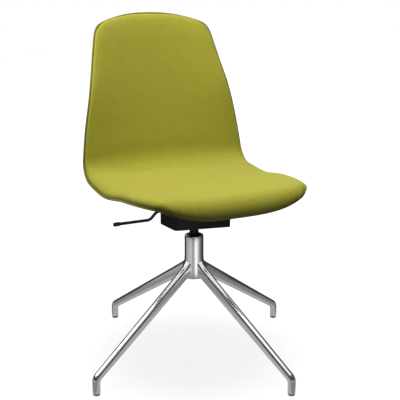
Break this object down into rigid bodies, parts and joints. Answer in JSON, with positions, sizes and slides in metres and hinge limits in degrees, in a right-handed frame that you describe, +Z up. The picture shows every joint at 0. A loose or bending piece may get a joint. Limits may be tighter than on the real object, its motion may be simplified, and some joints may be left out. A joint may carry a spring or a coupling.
{
  "type": "conference chair",
  "caption": "Upholstered one-piece shell chair that swivels and lifts on a gas spring, with a bent release lever and a polished pyramid base of tapered legs on glides.",
  "frame": {"origin": "on the swivel axis at floor level, in the middle of the base's footprint", "axes": "+Z up along the gas spring; the sitter faces -Y and +X is at the sitter's left"},
  "size_m": [0.6242, 0.6242, 0.849],
  "materials": {
    "polished_aluminium": "polished",
    "black_steel": "satin black powder coat",
    "bright_steel": "machined",
    "black_plastic": "moulded",
    "grey_plastic": "moulded",
    "rubber": "matt",
    "plywood": "moulded plywood",
    "foam": "moulded foam",
    "upholstery": "woven wool, lime green",
    "welt": "woven wool, in shade"
  },
  "bodies": {
    "base": {"hub_tube": "polished_aluminium", "leg_1": "polished_aluminium", "leg_2": "polished_aluminium", "leg_3": "polished_aluminium", "leg_4": "polished_aluminium", "glide_1": "grey_plastic", "glide_2": "grey_plastic", "glide_3": "grey_plastic", "glide_4": "grey_plastic", "stand_tube": "black_steel", "guide_sleeve": "black_plastic", "lower_race": "bright_steel"},
    "bearing": {"bearing_cage": "grey_plastic"},
    "rotor": {"upper_race": "bright_steel", "piston_rod": "bright_steel", "retaining_clip": "bright_steel", "bump_stop": "rubber", "piston": "grey_plastic"},
    "carriage": {"pressure_cylinder": "black_steel", "rod_seal": "rubber", "taper_socket": "black_steel", "mechanism_housing": "black_steel", "pivot_bracket": "bright_steel", "pivot_pin": "bright_steel", "mounting_pad": "black_plastic", "plate_bolt_1": "black_steel", "plate_bolt_2": "black_steel", "plate_bolt_3": "black_steel", "plate_bolt_4": "black_steel", "shell_insert_1": "bright_steel", "shell_insert_2": "bright_steel", "shell_insert_3": "bright_steel", "shell_insert_4": "bright_steel", "inner_shell": "plywood", "seat_foam": "foam", "rear_foam": "foam", "front_cover": "upholstery", "rear_cover": "upholstery", "edge_welt": "welt"},
    "lever": {"lever_rod": "black_steel", "lever_cap": "black_plastic"},
    "valve": {"valve_pin": "bright_steel"}
  },
  "joints": [
    {"name": "seat_swivel", "type": "hinge", "parent": "base", "child": "rotor", "pos_m": [0, 0, 0.2224], "axis": [0, 0, 1], "continuous": true},
    {"name": "cage_roll", "type": "hinge", "parent": "base", "child": "bearing", "pos_m": [0, 0, 0.2185], "axis": [0, 0, 1], "continuous": true},
    {"name": "height_lift", "type": "slide", "parent": "rotor", "child": "carriage", "axis": [0, 0, 1], "range_m": [0, 0.06]},
    {"name": "lever_lift", "type": "hinge", "parent": "carriage", "child": "lever", "pos_m": [-0.034, 0, 0.39089], "axis": [0, 1, 0], "range_deg": [0, 6], "stiffness_Nm_per_rad": 1.2},
    {"name": "valve_press", "type": "slide", "parent": "carriage", "child": "valve", "axis": [0, 0, 1], "range_m": [-0.0038, 0]}
  ],
  "couplings": [
    {"joint": "cage_roll", "follows": "seat_swivel", "ratio": 0.5},
    {"joint": "valve_press", "follows": "lever_lift", "m_per_rad": -0.0355}
  ]
}
